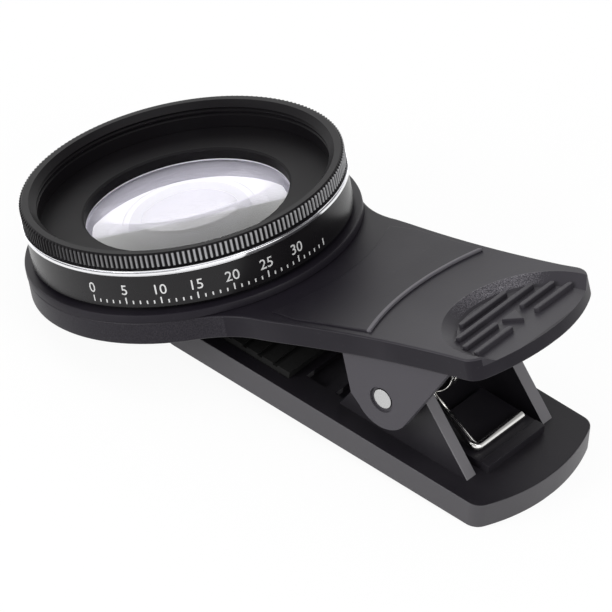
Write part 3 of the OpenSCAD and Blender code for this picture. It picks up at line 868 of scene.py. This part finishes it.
def makeFrontLens():
    v = lens
    edgeR, top, rimR = v["glassR"] + v["glassSeat"], edgeLow + v["glassEdge"], v["glassR"] - 0.05
    backR = edgeR - 0.6
    front = [(r, top + sphereRise(r, rimR, v["frontRise"])) for r in [rimR * (1 - i / 24) for i in range(25)]]
    back = [(r, edgeLow - sphereRise(r, backR, v["backRise"])) for r in [backR * i / 16 for i in range(17)]]
    profile = front[::-1] + [(edgeR, top), (edgeR, edgeLow)] + back[::-1]
    obj = turnProfile("frontLens", profile, 160, closed=False)
    paint(obj, lensGlass)
    return setDown(obj, toUpper, "upper_clip", "optical_glass", "front_lens")


scale = dict(
    start=-86, end=6, step=2.6, every=5, low=5.15, short=0.45, long=0.85, width=0.17, rise=0.02, sunk=0.03,
    digits=("0", "5", "10", "15", "20", "25", "30"), digitSize=1.9, digitGap=0.4, digitThick=0.025)


def makeDigit(text):
    c = scale
    bpy.ops.object.select_all(action="DESELECT")
    bpy.ops.object.text_add()
    curve = bpy.context.active_object.data
    curve.body, curve.size, curve.align_x = text, c["digitSize"] * mm, "CENTER"
    curve.extrude, curve.resolution_u = c["digitThick"] * mm, 4
    bpy.ops.object.convert(target="MESH")
    return bpy.context.active_object


def makeScale():
    # plain index marks and numbers printed round the barrel, left off the CAD
    c = scale
    half = c["width"] / 2
    pieces = []
    for i in range(int((c["end"] - c["start"]) / c["step"]) + 1):
        turn = math.radians(c["start"] + i * c["step"])
        big = i % c["every"] == 0
        high = c["long"] if big else c["short"]
        mark = raisePlan("mark", box(-half, half, 0, high), -c["sunk"], c["rise"])
        pieces.append((mark, turn, c["low"]))
        if big and i // c["every"] < len(c["digits"]):
            digit = makeDigit(c["digits"][i // c["every"]])
            pieces.append((digit, turn, c["low"] + c["long"] + c["digitGap"]))
    # each stands on the barrel's wall, its own y along the lens axis
    upright = Matrix.Rotation(math.pi / 2, 4, "Z") @ Matrix.Rotation(math.pi / 2, 4, "X")
    for obj, turn, z in pieces:
        onWall = Matrix.Translation((lens["bodyR"] * mm, 0, z * mm))
        obj.matrix_world = Matrix.Rotation(turn, 4, "Z") @ onWall @ upright
    only(pieces[0][0])
    for obj, _, _ in pieces:
        obj.select_set(True)
    bpy.ops.object.transform_apply(location=True, rotation=True, scale=True)
    bpy.ops.object.join()
    marks = bpy.context.active_object
    marks.name = "barrelScale"
    paint(marks, markPaint)
    return setDown(marks, toUpper, "upper_clip", "bright_alloy")


makeBarrel()
makeTrimRing()
makeFrontRing()
makeRetainingRing()
makeFrontLens()
makeScale()
for name, mat in (("rear_lens", rearGlass), ("spacer_ring", paintedLightSpacer), ("rear_retainer", paintedLightSpacer),
                  ("upper_jaw_pad", padRubber), ("lower_jaw_pad", padRubber)):
    paint(frame["nodes"][name], mat)
print("stage: lens")

studio = dict(
    floorSize=6.0, floorColour=(0.9, 0.9, 0.9), floorGlow=0.93, worldLight=0.5, worldTop=0.35, ceiling=(0.25, 0.75),
    lights=(("keyBox", (-0.35, -0.75, 0.35), 0.5, 0.5, 5.0), ("sideBox", (0.85, -0.1, 0.5), 0.5, 0.5, 3.2),
            ("topBox", (0.1, -0.1, 0.9), 0.7, 0.7, 2.4), ("backBox", (-0.55, 0.46, 0.25), 0.9, 0.56, 1.4)))


def anyOfThese(nodes, links):
    # two masks of rays: camera or transmission, and the same with glossy added
    path = nodes.new("ShaderNodeLightPath")
    shine = maths(nodes, links, "MAXIMUM", path.outputs["Is Glossy Ray"], path.outputs["Is Transmission Ray"])
    seen = maths(nodes, links, "MAXIMUM", path.outputs["Is Camera Ray"], path.outputs["Is Transmission Ray"])
    return seen, maths(nodes, links, "MAXIMUM", path.outputs["Is Camera Ray"], shine)


def makeFloor():
    bpy.ops.object.select_all(action="DESELECT")
    bpy.ops.mesh.primitive_plane_add(size=studio["floorSize"], location=(0, 0, 0))
    floor = bpy.context.active_object
    floor.name = "floor"
    mat = bpy.data.materials.new("floorPaper")
    mat.use_nodes = True
    nodes, links = mat.node_tree.nodes, mat.node_tree.links
    paper = nodes["Principled BSDF"]
    paper.inputs["Base Color"].default_value = (*studio["floorColour"], 1)
    paper.inputs["Roughness"].default_value = 0.9
    paper.inputs["Specular IOR Level"].default_value = 0.1
    glow = nodes.new("ShaderNodeEmission")
    mix = nodes.new("ShaderNodeMixShader")
    shown = anyOfThese(nodes, links)[1]
    links.new(maths(nodes, links, "MULTIPLY", shown, studio["floorGlow"]), mix.inputs["Fac"])
    links.new(paper.outputs["BSDF"], mix.inputs[1])
    links.new(glow.outputs["Emission"], mix.inputs[2])
    links.new(mix.outputs["Shader"], nodes["Material Output"].inputs["Surface"])
    floor.data.materials.append(mat)


def makeWorld():
    # white to the camera and through glass; darker overhead to what shines, as under a studio's ceiling
    world = bpy.data.worlds.new("studio")
    scene.world = world
    world.use_nodes = True
    nodes, links = world.node_tree.nodes, world.node_tree.links
    back = nodes["Background"]
    seen, shown = anyOfThese(nodes, links)
    coord = nodes.new("ShaderNodeTexCoord")
    split = nodes.new("ShaderNodeSeparateXYZ")
    ceiling = nodes.new("ShaderNodeMapRange")
    ceiling.interpolation_type = "SMOOTHSTEP"
    low, high = studio["ceiling"]
    for label, number in (("From Min", low), ("From Max", high), ("To Min", 1.0), ("To Max", studio["worldTop"])):
        ceiling.inputs[label].default_value = number
    links.new(coord.outputs["Generated"], split.inputs["Vector"])
    links.new(split.outputs["Z"], ceiling.inputs["Value"])
    shine = maths(nodes, links, "MAXIMUM", ceiling.outputs["Result"], seen)
    level = nodes.new("ShaderNodeMix")
    level.data_type = "FLOAT"
    level.inputs["A"].default_value = studio["worldLight"]
    links.new(shown, level.inputs["Factor"])
    links.new(shine, level.inputs["B"])
    links.new(level.outputs["Result"], back.inputs["Strength"])
    back.inputs["Color"].default_value = (1, 1, 1, 1)


def makeLight(name, spot, width, height, power, aim=(0, 0, 0.01)):
    data = bpy.data.lights.new(name, "AREA")
    data.shape, data.size, data.size_y, data.energy = "RECTANGLE", width, height, power
    lamp = bpy.data.objects.new(name, data)
    scene.collection.objects.link(lamp)
    lamp.location = spot
    lamp.rotation_euler = (Vector(aim) - Vector(spot)).to_track_quat("-Z", "Y").to_euler()
    return lamp


# the photograph's view, from its outline: angles in degrees, the aim and the distance in metres
view = dict(azimuth=36.900, elevation=38.960, roll=3.816, aim=(0.0017625, -0.001736, 0.009992), distance=2.4,
            pixelsPerMm=8.2887, image=612, sensor=36)


def makeCamera():
    a, e = math.radians(view["azimuth"]), math.radians(view["elevation"])
    back = Vector((math.sin(a) * math.cos(e), -math.cos(a) * math.cos(e), math.sin(e)))
    data = bpy.data.cameras.new("camera")
    cam = bpy.data.objects.new("camera", data)
    scene.collection.objects.link(cam)
    data.sensor_width = view["sensor"]
    data.lens = view["pixelsPerMm"] / mm * view["distance"] / view["image"] * view["sensor"]
    data.clip_start, data.clip_end = 0.1, 20
    cam.location = Vector(view["aim"]) + back * view["distance"]
    cam.rotation_mode = "QUATERNION"
    look = (-back).to_track_quat("-Z", "Y")
    cam.rotation_quaternion = look @ Matrix.Rotation(math.radians(view["roll"]), 4, "Z").to_quaternion()
    scene.camera = cam


makeFloor()
makeWorld()
for light in studio["lights"]:
    makeLight(*light)
makeCamera()
scene.view_settings.view_transform = "Standard"
print("stage: studio")
